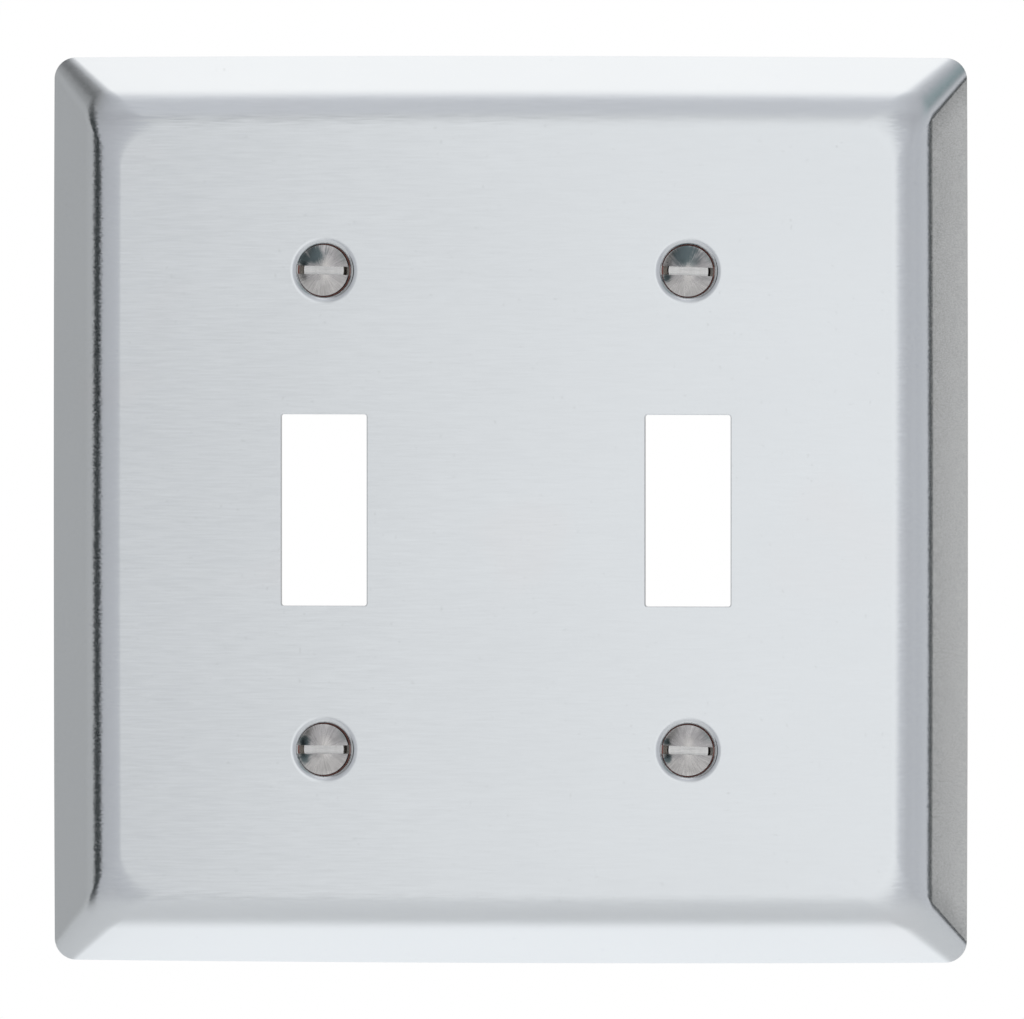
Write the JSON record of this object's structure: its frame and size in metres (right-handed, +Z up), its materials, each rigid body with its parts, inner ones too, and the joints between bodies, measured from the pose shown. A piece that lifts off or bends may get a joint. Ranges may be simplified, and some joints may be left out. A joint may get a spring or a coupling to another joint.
{
  "type": "toggle switch wall plate",
  "caption": "Square brushed stainless wall plate with bevelled edges, rectangular toggle switch openings and slotted oval-head screws in pressed countersinks.",
  "frame": {"origin": "centre of the plate in the plane of the wall its rim rests on", "axes": "+Z up, front face towards -Y, +Y into the wall along the screws, +X to the right seen from the front"},
  "size_m": [0.1158, 0.0136, 0.1142],
  "materials": {
    "brushed_stainless": "fine horizontal brushing, satin",
    "screw_steel": "turned steel, light satin"
  },
  "bodies": {
    "cover": {"plate": "brushed_stainless"},
    "screw_top_left": {"screw_top_left": "screw_steel"},
    "screw_top_right": {"screw_top_right": "screw_steel"},
    "screw_bottom_left": {"screw_bottom_left": "screw_steel"},
    "screw_bottom_right": {"screw_bottom_right": "screw_steel"}
  },
  "joints": [
    {"name": "top_left_turn", "type": "hinge", "parent": "cover", "child": "screw_top_left", "pos_m": [-0.02302, 0, 0.03016], "axis": [0, 1, 0], "continuous": true},
    {"name": "top_right_turn", "type": "hinge", "parent": "cover", "child": "screw_top_right", "pos_m": [0.02302, 0, 0.03016], "axis": [0, 1, 0], "continuous": true},
    {"name": "bottom_left_turn", "type": "hinge", "parent": "cover", "child": "screw_bottom_left", "pos_m": [-0.02302, 0, -0.03016], "axis": [0, 1, 0], "continuous": true},
    {"name": "bottom_right_turn", "type": "hinge", "parent": "cover", "child": "screw_bottom_right", "pos_m": [0.02302, 0, -0.03016], "axis": [0, 1, 0], "continuous": true}
  ]
}
